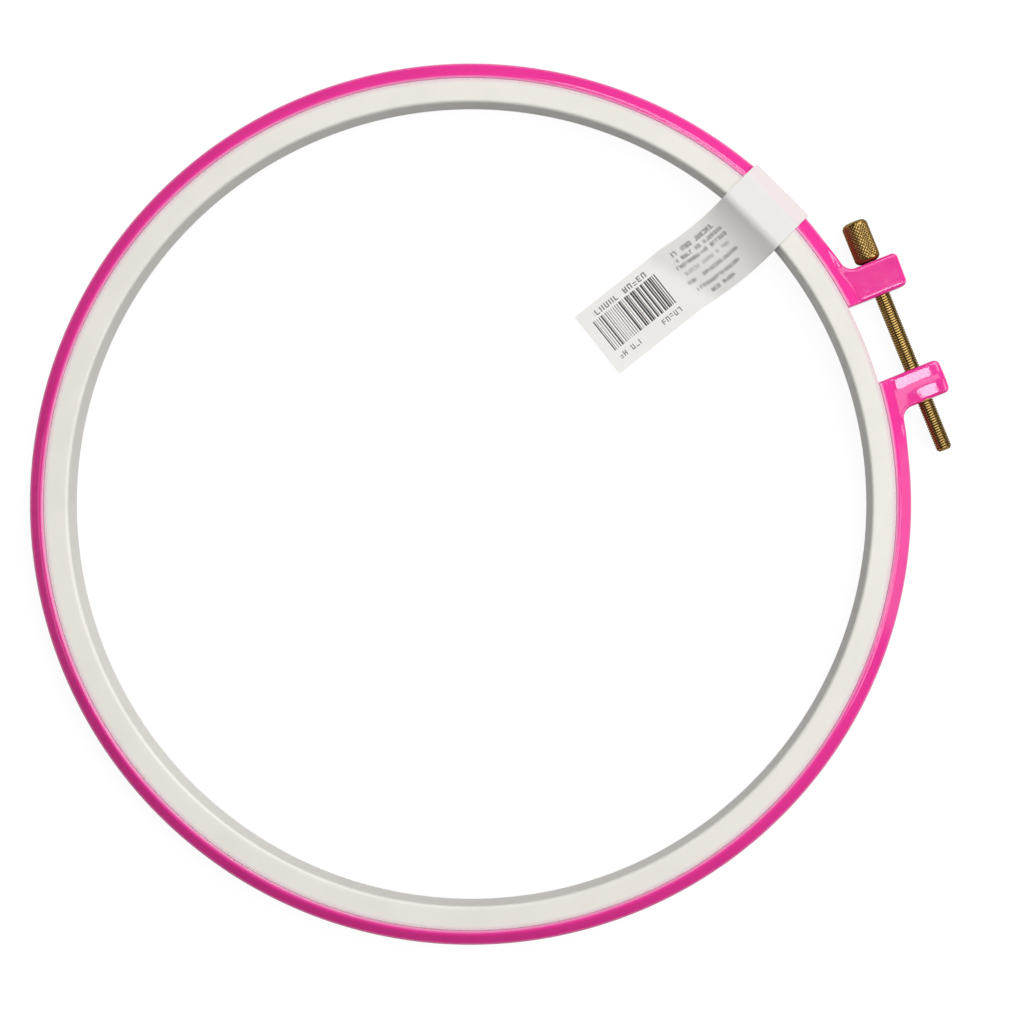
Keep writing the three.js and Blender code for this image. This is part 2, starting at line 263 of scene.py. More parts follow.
class ShaderSketch:
    """A node material while it is being drawn, with short calls for the nodes that the finishes share."""

    # Places of the colour sockets on a mix node.
    mix_first = 6
    mix_second = 7
    mix_result = 2

    def __init__(self, name: str) -> None:
        """Starts a material with its plain shader.

        Args:
            name: Name of the material.
        """
        self.material = bpy.data.materials.new(name)
        self.material.use_nodes = True
        self.tree = self.material.node_tree
        self.shader = self.tree.nodes["Principled BSDF"]

    def feed(self, socket: Socket, source: Source) -> None:
        """Links a socket to a node's output, or sets it to a plain value.

        Args:
            socket: The input socket.
            source: An output socket, a number or a colour.
        """
        if isinstance(source, Socket):
            self.tree.links.new(source, socket)
        elif isinstance(source, tuple) and socket.type == "RGBA":
            socket.default_value = (*source, 1.0)
        else:
            socket.default_value = source

    def fill(self, node: bpy.types.Node, values: dict[str, Source]) -> None:
        """Feeds a node's inputs, named with _ for each space."""
        for name, source in values.items():
            self.feed(node.inputs[name.replace("_", " ")], source)

    def set(self, **values: Source) -> None:
        """Feeds inputs of the plain shader, named with _ for each space."""
        self.fill(self.shader, values)

    def node(self, kind: str, **values: Source) -> bpy.types.Node:
        """Adds a node and feeds its inputs.

        Args:
            kind: Blender's name of the node, without its common start.
            values: What feeds each input, named with _ for each space.

        Returns:
            The node.
        """
        node = self.tree.nodes.new(f"ShaderNode{kind}")
        self.fill(node, values)
        return node

    def math(self, operation: str, first: Source, second: Source = 0.0) -> Socket:
        """Adds a node of arithmetic.

        Args:
            operation: Blender's name of the operation.
            first: First operand.
            second: Second operand, if it has one.

        Returns:
            The result's socket.
        """
        node = self.node("Math")
        node.operation = operation
        self.feed(node.inputs[0], first)
        self.feed(node.inputs[1], second)
        return node.outputs[0]

    def times(self, first: Source, second: Source) -> Socket:
        """Multiplies two values."""
        return self.math("MULTIPLY", first, second)

    def between(self, value: Source, low: float, high: float) -> Socket:
        """Gives 1 where a value lies between two limits, and 0 elsewhere."""
        return self.times(self.math("GREATER_THAN", value, low), self.math("LESS_THAN", value, high))

    def fade(self, value: Source, low: float, high: float, floor: float = 0.0, top: float = 1.0) -> Socket:
        """Turns a value into a smooth step.

        Args:
            value: What is measured.
            low: Where the step starts.
            high: Where the step ends.
            floor: The step's result at its start.
            top: The step's result at its end.

        Returns:
            The result's socket.
        """
        node = self.node("MapRange", Value=value, From_Min=low, From_Max=high, To_Min=floor, To_Max=top)
        node.interpolation_type = "SMOOTHSTEP"
        return node.outputs["Result"]

    def mix(self, share: Source, first: Source, second: Source) -> Socket:
        """Mixes two colours.

        Args:
            share: Share of the second colour.
            first: First colour.
            second: Second colour.

        Returns:
            The mixed colour's socket.
        """
        node = self.node("Mix", Factor=share)
        node.data_type = "RGBA"
        self.feed(node.inputs[self.mix_first], first)
        self.feed(node.inputs[self.mix_second], second)
        return node.outputs[self.mix_result]

    def place(self) -> Socket:
        """Gives the point's place on the piece, in metres."""
        return self.node("TexCoord").outputs["Object"]

    def split(self, vector: Source) -> tuple[Socket, ...]:
        """Gives the three parts of a vector."""
        return tuple(self.node("SeparateXYZ", Vector=vector).outputs)

    def join(self, x: Source, y: Source, z: Source = 0.0) -> Socket:
        """Makes a vector of three parts."""
        return self.node("CombineXYZ", X=x, Y=y, Z=z).outputs[0]

    def noise(self, place: Source, scale: float, detail: float = 2.0) -> Socket:
        """Adds smooth noise, from 0 to 1, with a scale in waves a metre and octaves of finer detail."""
        return self.node("TexNoise", Vector=place, Scale=scale, Detail=detail).outputs["Fac"]

    def chance(self, place: Source) -> Socket:
        """Gives a fixed chance value from 0 to 1 for each place."""
        return self.node("TexWhiteNoise", Vector=place).outputs["Value"]

    def around(self, middle: Vector) -> tuple[Socket, Socket]:
        """Measures a point round the hoop's upright axis.

        Args:
            middle: A point on the axis.

        Returns:
            Sockets of the angle and of the radius in metres.
        """
        x, y, _ = self.split(self.place())
        right = self.math("SUBTRACT", x, middle.x)
        ahead = self.math("SUBTRACT", y, middle.y)
        square = self.math("ADD", self.times(right, right), self.times(ahead, ahead))
        return self.math("ARCTAN2", ahead, right), self.math("SQRT", square)

    def bump(self, height: Source, distance: float, strength: float) -> None:
        """Raises the surface by a height.

        Args:
            height: Height from 0 to 1.
            distance: Metres that a height of 1 stands for.
            strength: Share of the effect.
        """
        node = self.node("Bump", Height=height, Distance=distance, Strength=strength)
        self.set(Normal=node.outputs["Normal"])


@dataclass(frozen=True)
class MouldedPlastic:
    """Moulded plastic with faint clouding, a fine skin, marks near the seam of the two rings and a band of
    painted light along the seam.
    """

    name: str
    colour: Colour
    cloud_colour: Colour
    mark_colour: Colour
    # Colour and width of the band of painted light along the seam.
    painted_seam_light_colour: Colour
    painted_seam_light_reach: float
    roughness: Span
    specular: float
    seam_radius: float
    mark_reach: Span
    mark_rarity: float
    mark_edge: float = 0.05
    seam_level: Span = (0.0085, 0.0097)
    cloud_scale: float = 70.0
    cloud_limits: Span = (0.38, 0.72)
    streak_scale: float = 900.0
    streak_squeeze: float = 3.0
    skin_scale: float = 420.0
    skin_limits: Span = (0.25, 0.75)
    grain_scale: float = 2600.0
    grain_share: float = 0.25
    skin_depth: float = 0.00003
    skin_strength: float = 0.35
    index: float = 1.49

    def material(self, middle: Vector) -> bpy.types.Material:
        """Draws the material.

        Args:
            middle: Middle of the rings' under side.

        Returns:
            The finished material.
        """
        sketch = ShaderSketch(self.name)
        place = sketch.place()
        angle, radius = sketch.around(middle)
        clouds = sketch.fade(sketch.noise(place, self.cloud_scale, detail=3.0), *self.cloud_limits)
        base = sketch.mix(clouds, self.colour, self.cloud_colour)
        low, high = self.seam_level
        on_top = sketch.fade(sketch.split(place)[2], middle.z + low, middle.z + high)
        aside = sketch.math("SUBTRACT", radius, self.seam_radius)
        # The seam band is painted light, in the colour given for each plastic: a painted highlight on the pink
        # ring, a painted pink reflection on the white one.
        seam = sketch.times(sketch.fade(aside, self.painted_seam_light_reach, 0.0), on_top)
        base = sketch.mix(seam, base, self.painted_seam_light_colour)
        run = sketch.join(sketch.times(angle, self.seam_radius), sketch.times(radius, self.streak_squeeze))
        streaks = sketch.noise(run, self.streak_scale, detail=1.0)
        streaks = sketch.fade(streaks, self.mark_rarity, self.mark_rarity + self.mark_edge)
        marks = sketch.times(streaks, sketch.times(sketch.fade(aside, *self.mark_reach), on_top))
        skin = sketch.noise(place, self.skin_scale, detail=3.0)
        grain = sketch.times(sketch.noise(place, self.grain_scale), self.grain_share)
        sketch.set(Base_Color=sketch.mix(marks, base, self.mark_colour))
        sketch.set(Roughness=sketch.fade(skin, *self.skin_limits, *self.roughness))
        sketch.set(IOR=self.index, Specular_IOR_Level=self.specular)
        sketch.bump(sketch.math("ADD", grain, skin), self.skin_depth, self.skin_strength)
        return sketch.material


@dataclass(frozen=True)
class TurnedBrass:
    """Turned brass, bright on its crests, with painted shade darkening its grooves and random stains."""

    name: str
    crest_colour: Colour
    # Colour in the grooves, where it is painted shade, and in the random stains.
    groove_shade_and_stain_colour: Colour
    roughness: Span
    metallic: float = 0.92
    stain_scale: float = 900.0
    stain_middle: float = 0.5
    stain_share: float = 0.5
    stain_and_groove_shade_limits: Span = (0.15, 0.85)
    dull_limits: Span = (0.1, 0.9)
    stain_depth: float = 0.00002
    stain_strength: float = 0.3

    def material(self) -> bpy.types.Material:
        """Draws the material.

        Returns:
            The finished material.
        """
        sketch = ShaderSketch(self.name)
        depth = sketch.node("Attribute")
        depth.attribute_name = GROOVE_MARK
        stain = sketch.noise(sketch.place(), self.stain_scale, detail=3.0)
        patches = sketch.times(sketch.math("SUBTRACT", stain, self.stain_middle), self.stain_share)
        # Groove depth paints shade into the grooves; the stain noise adds random stains on top.
        stain_and_groove_shade = sketch.math("ADD", depth.outputs["Fac"], patches)
        share = sketch.fade(stain_and_groove_shade, *self.stain_and_groove_shade_limits)
        sketch.set(Base_Color=sketch.mix(share, self.crest_colour, self.groove_shade_and_stain_colour))
        sketch.set(Roughness=sketch.fade(stain_and_groove_shade, *self.dull_limits, *self.roughness))
        sketch.set(Metallic=self.metallic, Specular_Tint=BLACK)
        sketch.bump(stain, self.stain_depth, self.stain_strength)
        return sketch.material


@dataclass(frozen=True)
class PrintBlock:
    """One block of plain printing on the tag, measured from the tag's left edge and from the tail's end.

    Its bars have chance widths and its words are chance strokes, upright stems and level rungs, that spell
    nothing. A stroke shows where its chance value is over its rarity.
    """

    kind: Print
    across: Span
    along: Span
    pitch: float
    ink: float
    bar_widths: Span = (0.2, 0.8)
    bar_seed: float = 3.5
    stems: tuple[Span, ...] = ((0.06, 0.26), (0.56, 0.76))
    stem_seed: float = 1.5
    stem_rarity: float = 0.25
    rungs: tuple[Span, ...] = ((0.0, 0.17), (0.42, 0.58), (0.83, 1.0))
    rung_seed: float = 7.5
    rung_rarity: float = 0.5
    row_seed: float = 1000.0
    gap_share: float = 0.14

    def draw(self, sketch: ShaderSketch, u: Socket, v: Socket) -> Socket:
        """Draws the block's ink.

        Args:
            sketch: The paper's material.
            u: Metres across the tag from its left edge.
            v: Metres along the tag from the tail's end.

        Returns:
            Share of ink, from 0 to 1.
        """
        low, high = self.across
        inside = sketch.times(sketch.between(u, low, high), sketch.between(v, *self.along))
        step = sketch.math("DIVIDE", v, self.pitch)
        cell = sketch.math("FLOOR", step)
        part = sketch.math("FRACT", step)
        if self.kind is Print.BARS:
            chance = sketch.chance(sketch.join(cell, self.bar_seed))
            pattern = sketch.math("LESS_THAN", part, sketch.fade(chance, 0.0, 1.0, *self.bar_widths))
        else:
            level = sketch.math("DIVIDE", sketch.math("SUBTRACT", u, low), high - low)
            pattern = self.strokes(sketch, cell, part, level)
        return sketch.times(sketch.times(inside, pattern), self.ink)

    def strokes(self, sketch: ShaderSketch, cell: Socket, part: Socket, level: Socket) -> Socket:
        """Draws chance strokes that sit in a row like small print.

        Args:
            sketch: The paper's material.
            cell: Number of the cell along the row.
            part: Place in the cell, from 0 to 1.
            level: Place across the row, from 0 to 1.

        Returns:
            1 on a stroke and 0 elsewhere.
        """
        seed = self.row_seed * sum(self.across)
        strokes: list[tuple[Socket, float, float]] = []
        for number, stem in enumerate(self.stems):
            strokes.append((sketch.between(part, *stem), self.stem_seed + number, self.stem_rarity))
        width = sketch.between(part, self.stems[0][0], self.stems[-1][1])
        for number, rung in enumerate(self.rungs):
            line = sketch.times(sketch.between(level, *rung), width)
            strokes.append((line, self.rung_seed + number, self.rung_rarity))
        ink: Source = 0.0
        for stroke, number, rarity in strokes:
            shown = sketch.math("GREATER_THAN", sketch.chance(sketch.join(cell, seed, number)), rarity)
            ink = sketch.math("MAXIMUM", ink, sketch.times(stroke, shown))
        word = sketch.math("GREATER_THAN", sketch.chance(sketch.join(cell, seed)), self.gap_share)
        return sketch.times(ink, word)


@dataclass(frozen=True)
class LabelPaper:
    """Smooth label paper with plain printing, with a band of painted shade over the pink ring's slope, tinted
    where the pink ring shows through.
    """

    name: str
    colour: Colour
    ink_colour: Colour
    # The fibre tone shifts a little towards this colour, and the band of painted pink shade takes it whole.
    fibre_tone_and_painted_pink_shade_colour: Colour
    painted_pink_shade_along: Span
    blocks: tuple[PrintBlock, ...]
    painted_pink_shade_edge: float = 0.0007
    fibre_scale: float = 1500.0
    fibre_limits: Span = (0.3, 0.7)
    fibre_tones: Span = (0.0, 0.12)
    dull_limits: Span = (0.2, 0.8)
    roughness: Span = (0.5, 0.62)
    fibre_depth: float = 0.00003
    fibre_strength: float = 0.25

    def material(self) -> bpy.types.Material:
        """Draws the material.

        Returns:
            The finished material.
        """
        sketch = ShaderSketch(self.name)
        chart = sketch.node("UVMap")
        chart.uv_map = PAPER_CHART
        u, v, _ = sketch.split(chart.outputs[0])
        fibre = sketch.noise(sketch.place(), self.fibre_scale, detail=3.0)
        tone = sketch.fade(fibre, *self.fibre_limits, *self.fibre_tones)
        paper = sketch.mix(tone, self.colour, self.fibre_tone_and_painted_pink_shade_colour)
        # The band over the pink ring's slope is painted shade, pinker where the ring shows through the paper.
        low, high = self.painted_pink_shade_along
        rise = sketch.fade(v, low - self.painted_pink_shade_edge, low + self.painted_pink_shade_edge)
        fall = sketch.fade(v, high + self.painted_pink_shade_edge, high - self.painted_pink_shade_edge)
        paper = sketch.mix(sketch.times(rise, fall), paper, self.fibre_tone_and_painted_pink_shade_colour)
        ink: Source = 0.0
        for block in self.blocks:
            ink = sketch.math("MAXIMUM", block.draw(sketch, u, v), ink)
        sketch.set(Base_Color=sketch.mix(ink, paper, self.ink_colour))
        sketch.set(Roughness=sketch.fade(fibre, *self.dull_limits, *self.roughness))
        sketch.bump(fibre, self.fibre_depth, self.fibre_strength)
        return sketch.material


@dataclass(frozen=True)
class HoopSizes:
    """Sizes that the pieces share, in metres from the middle of the rings' under side."""

    bore_radius: float = 0.127
    inner_ring_radius: float = 0.13465
    outer_bore: float = 0.1347
    outer_radius: float = 0.1402
    ring_height: float = 0.010
    crest_width: float = 0.0014
    crest_blend: float = 0.0006
    top_slope: float = math.tan(math.radians(35))
    top_blend: float = 0.0008
    lug_height: float = 0.0084
    lug_face: float = 0.0237
    screw_x: float = 0.1468
    screw_z: float = 0.0042
    screw_radius: float = 0.00244

    @property
    def middle(self) -> Vector:
        """Middle of the rings' under side in the frame."""
        low, high = (Vector(corner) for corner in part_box("inner_ring"))
        return Vector(((low.x + high.x) / 2, (low.y + high.y) / 2, low.z))

    @property
    def crest_end(self) -> float:
        """Radius at which the outer ring's level crest turns into its slope."""
        return self.outer_bore + self.crest_width

    @property
    def ring_edge_height(self) -> float:
        """Height of the outer ring's slope at its outer edge."""
        return self.ring_height - self.top_slope * (self.outer_radius - self.crest_end)

    @property
    def sunk_shelf(self) -> float:
        """Height at which a lug's shelf lies out of sight below the ring's slope."""
        return self.ring_edge_height - self.top_blend

    def crown_height(self, radius: np.ndarray, shelf: float) -> np.ndarray:
        """Gives the outer ring's top: a level crest at the seam, then a slope down to a lug's shelf.

        Args:
            radius: Distances from the hoop's axis.
            shelf: Height of the lug's flat top, or of the sunk shelf along the ring.

        Returns:
            Heights above the ring's under side.
        """
        slope = self.ring_height - self.top_slope * soft_over(radius - self.crest_end, self.crest_blend)
        return shelf + soft_over(slope - shelf, self.top_blend)

    def settle(self, piece: bpy.types.Object) -> None:
        """Moves a mesh from the hoop's own place to the frame's."""
        piece.data.transform(Matrix.Translation(self.middle))

    def thread_on(self, piece: bpy.types.Object, y: float) -> None:
        """Moves a mesh from its own axis to a place on the screw's axis in the frame."""
        piece.data.transform(Matrix.Translation((self.screw_x, y, self.screw_z)))
        self.settle(piece)


def mark_grooves(piece: bpy.types.Object, depths: np.ndarray) -> None:
    """Writes how deep in a groove each point of a turned piece lies, from 0 to 1."""
    marks = piece.data.attributes.new(GROOVE_MARK, "FLOAT", "POINT")
    marks.data.foreach_set("value", depths)


def hand_over(
    piece: bpy.types.Object, material: bpy.types.Material, node: str, body: Body | None
) -> None:
    """Gives a piece its material and ties it to the frame.

    Args:
        piece: The piece.
        material: Its finish.
        node: The solid that it stands for.
        body: The body that it rides on, if it rides on one.
    """
    piece.data.materials.append(material)
    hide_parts(node)
    if body is not None:
        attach(piece, body.value)
    log.info("%s: %d faces", piece.name, len(piece.data.polygons))


@dataclass(frozen=True)
class Station:
    """One place along the plan outline of half the outer ring.

    It has the outline's point and the direction inward from it, the angle of its point on the bore, the
    height of the shelf there, and how far, from 1 to 0, it lies in the rounded edge of the gap face.
    """

    outline: np.ndarray
    inward: np.ndarray
    bore: float
    shelf: float
    ease: float = 0.0


@dataclass
class OuterRing:
    """The split outer ring with its two clamp lugs, one moulding."""

    hoop: HoopSizes
    finish: MouldedPlastic
    gap_face: float = 0.0127
    lug_end: float = 0.1550
    corner_radius: float = 0.0018
    root_radius: float = 0.0038
    top_edge: float = 0.0011
    seam_edge: float = 0.0003
    base_edge: float = 0.0006
    lug_runout: float = 0.015
    lean: float = math.tan(math.radians(6.5))
    lean_reach: Span = (-0.0035, -0.0005)
    lean_runout: float = 0.010
    ridge_middle: float = -0.0002
    ridge_blend: float = 0.0016
    gap_fall: float = math.tan(math.radians(9.3))
    gap_fall_reach: Span = (-0.004, 0.0)
    far_fall: float = math.tan(math.radians(6.85))
    far_fall_reach: Span = (0.0, 0.008)
    pillow_reach: float = 0.0042
    pillow_radius: float = 0.016
    hole_radius: float = 0.0028
    pocket_radius: float = 0.00335
    pocket_end: float = -0.01555
    crease: float = 35.0
    ring_steps: int = 720
    round_steps: int = 10
    face_steps: int = 10
    end_steps: int = 16
    root_steps: int = 24
    top_steps: int = 30
    top_crowding: float = 1.6
    hole_steps: int = 64

    def stations(self) -> list[Station]:
        """Lists the stations from the gap face round to the far side.

        Returns:
            The stations in order.
        """
        shelf = self.hoop.lug_height
        from_end = np.array((-1.0, 0.0))
        gap_round = []
        for angle in quarter_turn(self.round_steps):
            outline = self.end_outline(self.top_edge * (1 - math.cos(angle)))
            bore = math.asin(outline[1] / self.hoop.outer_bore)
            gap_round.append(Station(outline, from_end, bore, shelf, 1 - math.sin(angle)))

        corner_middle = np.array((self.lug_end, self.hoop.lug_face)) - self.corner_radius
        insets = np.linspace(self.top_edge, corner_middle[1] - self.gap_face, self.end_steps + 1)[1:-1]
        flank = [(self.end_outline(inset), from_end) for inset in insets]
        for angle in quarter_turn(self.round_steps):
            flank.append((corner_middle + polar(self.corner_radius, angle), polar(-1.0, angle)))
        root_y = self.hoop.lug_face + self.root_radius
        root_x = math.sqrt((self.hoop.outer_radius + self.root_radius) ** 2 - root_y**2)
        root_middle = np.array((root_x, root_y))
        root_angle = math.atan2(root_y, root_x)
        root = [
            (root_middle + polar(self.root_radius, turn), polar(1.0, turn))
            for turn in np.linspace(1.5 * math.pi, math.pi + root_angle, self.root_steps, endpoint=False)
        ]
        face_start, face_end = flank[-1][0], root[0][0]
        for share in np.linspace(0.0, 1.0, self.face_steps + 1)[1:-1]:
            flank.append((face_start + (face_end - face_start) * share, np.array((0.0, -1.0))))
        flank += root
        bores = np.linspace(gap_round[-1].bore, root_angle, len(flank) + 2)[1:-1]
        sides = [Station(outline, inward, bore, shelf) for (outline, inward), bore in zip(flank, bores)]

        steps = round(self.ring_steps * (math.pi - root_angle) / (2 * math.pi))
        ring = []
        for bore in np.linspace(root_angle, math.pi, steps + 1):
            sunk = smooth_step((bore - root_angle) * self.hoop.outer_radius, 0.0, self.lug_runout)
            height = shelf + (self.hoop.sunk_shelf - shelf) * sunk
            ring.append(Station(polar(self.hoop.outer_radius, bore), polar(-1.0, bore), bore, height))
        return [*gap_round, *sides, *ring]

    def end_outline(self, inset: float) -> np.ndarray:
        """Gives a point of a lug's end in plan, with the corner at the gap rounded.

        Args:
            inset: Distance of the point from the gap face.

        Returns:
            The plan point.
        """
        short = max(self.corner_radius - inset, 0.0)
        x = self.lug_end - self.corner_radius + math.sqrt(self.corner_radius**2 - short**2)
        return np.array((x, self.gap_face + inset))

    def fall(self, plan: np.ndarray, lower: bool) -> np.ndarray:
        """Gives how far a lug's top lies below its level: the upper one leans and the lower one has a ridge.

        Args:
            plan: Plan points, one in a row.
            lower: Whether the points are on the lower lug.

        Returns:
            The fall at each point.
        """
        half = (self.hoop.lug_face - self.gap_face) / 2
        aside = np.clip(np.abs(plan[:, 1]) - self.gap_face - half, -half, half)
        out = np.linalg.norm(plan, axis=1) - self.hoop.outer_radius
        out = np.where(plan[:, 0] > 0, out, -self.hoop.outer_radius)
        if not lower:
            beside = np.abs(plan[:, 1]) - self.hoop.lug_face
            shown = smooth_step(out, *self.lean_reach) * (1 - smooth_step(beside, 0.0, self.lean_runout))
            return -self.lean * aside * shown
        past_ridge = aside - self.ridge_middle
        gap_fall = self.gap_fall * smooth_step(out, *self.gap_fall_reach)
        far_fall = self.far_fall * smooth_step(out, *self.far_fall_reach)
        to_gap = gap_fall * soft_over(-past_ridge, self.ridge_blend)
        to_far = far_fall * soft_over(past_ridge, self.ridge_blend)
        beyond = np.maximum(plan[:, 0] - self.lug_end + self.pillow_reach, 0.0)
        return to_gap + to_far + beyond**2 / (2 * self.pillow_radius)

    def section(self, station: Station, lower: bool) -> np.ndarray:
        """Draws the closed section at one station: base, outer wall, sloping top and bore wall.

        Args:
            station: The place along the outline.
            lower: Whether the station is on the half with the lower lug.

        Returns:
            The section's points, one in a row.
        """
        wall = polar(self.hoop.outer_bore, station.bore)
        brow = station.outline + station.inward * self.top_edge
        across = (brow - wall) / np.linalg.norm(brow - wall)
        up = quarter_turn(self.round_steps)
        down = up[::-1]
        floor, sink = self.base_edge * station.ease, self.top_edge * station.ease

        def from_outline(radius: float, angles: np.ndarray) -> np.ndarray:
            """Gives plan points in a rounded edge along the outline."""
            return station.outline + station.inward * (radius * (1 - np.cos(angles)))[:, None]

        def from_wall(radius: float, angles: np.ndarray) -> np.ndarray:
            """Gives plan points in a rounded edge along the bore wall."""
            return wall + across * (radius * (1 - np.cos(angles)))[:, None]

        def crown(plan: np.ndarray, drop: np.ndarray | float) -> np.ndarray:
            """Sets plan points on the moulding's top."""
            height = self.hoop.crown_height(np.linalg.norm(plan, axis=1), station.shelf) - drop - sink
            return np.column_stack((plan, height - self.fall(plan, lower)))

        def base(plan: np.ndarray, angles: np.ndarray) -> np.ndarray:
            """Sets plan points in a rounded edge of the under side."""
            return np.column_stack((plan, self.base_edge * (1 - np.sin(angles)) + floor))

        seam = wall + across * self.seam_edge
        shares = (1 - np.linspace(0.0, 1.0, self.top_steps + 1)[1:-1, None]) ** self.top_crowding
        return np.concatenate((
            base(from_wall(self.base_edge, up), up),
            base(from_outline(self.base_edge, down), down),
            crown(from_outline(self.top_edge, up), self.top_edge * (1 - np.sin(up))),
            crown(seam + (brow - seam) * shares, 0.0),
            crown(from_wall(self.seam_edge, down), self.seam_edge * (1 - np.sin(down))),
        ))

    def cutter(self, radius: float, start: float, end: float) -> bpy.types.Object:
        """Makes a round cutter along the screw's axis.

        Args:
            radius: Its radius.
            start: Where it starts on the axis.
            end: Where it ends on the axis.

        Returns:
            The cutter.
        """
        axis = (self.hoop.screw_x, 0.0, self.hoop.screw_z)
        sketch = MeshSketch()
        sketch.loft([axis_loop(y, np.full(self.hole_steps, radius)) + axis for y in (start, end)])
        return sketch.build("cutter", self.crease)

    def drill(self, ring: bpy.types.Object) -> None:
        """Cuts the screw hole and the insert's pocket.

        Args:
            ring: The moulding, whose mesh is replaced.
        """
        reach = 2 * self.hoop.lug_face
        hole = self.cutter(self.hole_radius, -reach, reach)
        pocket = self.cutter(self.pocket_radius, -reach, self.pocket_end)
        for cutter in (hole, pocket):
            cut = ring.modifiers.new(cutter.name, "BOOLEAN")
            cut.operation = "DIFFERENCE"
            cut.solver = "EXACT"
            cut.object = cutter
        drilled = bpy.data.meshes.new_from_object(ring.evaluated_get(bpy.context.evaluated_depsgraph_get()))
        ring.modifiers.clear()
        ring.data = drilled
        drilled.set_sharp_from_angle(angle=math.radians(self.crease))
        for cutter in (hole, pocket):
            bpy.data.objects.remove(cutter)

    def build(self) -> bpy.types.Object:
        """Builds and dresses the ring.

        Returns:
            The ring.
        """
        stations = self.stations()
        upper = [self.section(station, lower=False) for station in stations]
        lower = [self.section(station, lower=True) * (1.0, -1.0, 1.0) for station in reversed(stations[:-1])]
        sketch = MeshSketch()
        sketch.loft([*upper, *lower])
        ring = sketch.build("pink_outer_ring", self.crease)
        self.drill(ring)
        self.hoop.settle(ring)
        plastic = self.finish.material(self.hoop.middle)
        hand_over(ring, plastic, "outer_ring", Body.OUTER_RING)
        return ring


@dataclass
class InnerRing:
    """The closed inner ring, which drops into the outer one."""

    hoop: HoopSizes
    finish: MouldedPlastic
    edge: float = 0.0005
    seam_edge: float = 0.00025
    lip: float = 0.001
    crease: float = 35.0
    steps: int = 720
    round_steps: int = 8
    run_steps: tuple[int, ...] = (4, 5, 6, 5)

    def build(self) -> bpy.types.Object:
        """Builds and dresses the ring.

        Returns:
            The ring.
        """
        inside, outside, top = self.hoop.bore_radius, self.hoop.inner_ring_radius, self.hoop.ring_height
        corners = [
            (inside, 0.0, self.edge),
            (outside, 0.0, self.edge),
            (outside, top, self.seam_edge),
            (inside, top, self.lip),
        ]
        radius, height = rounded_path(corners, self.round_steps, self.run_steps, closed=True).T
        loops = []
        for turn in full_turn(self.steps):
            loops.append(np.column_stack((radius * math.cos(turn), radius * math.sin(turn), height)))
        sketch = MeshSketch()
        sketch.loft(loops, ring=True)
        ring = sketch.build("white_inner_ring", self.crease)
        self.hoop.settle(ring)
        plastic = self.finish.material(self.hoop.middle)
        hand_over(ring, plastic, "inner_ring", Body.INNER_RING)
        return ring


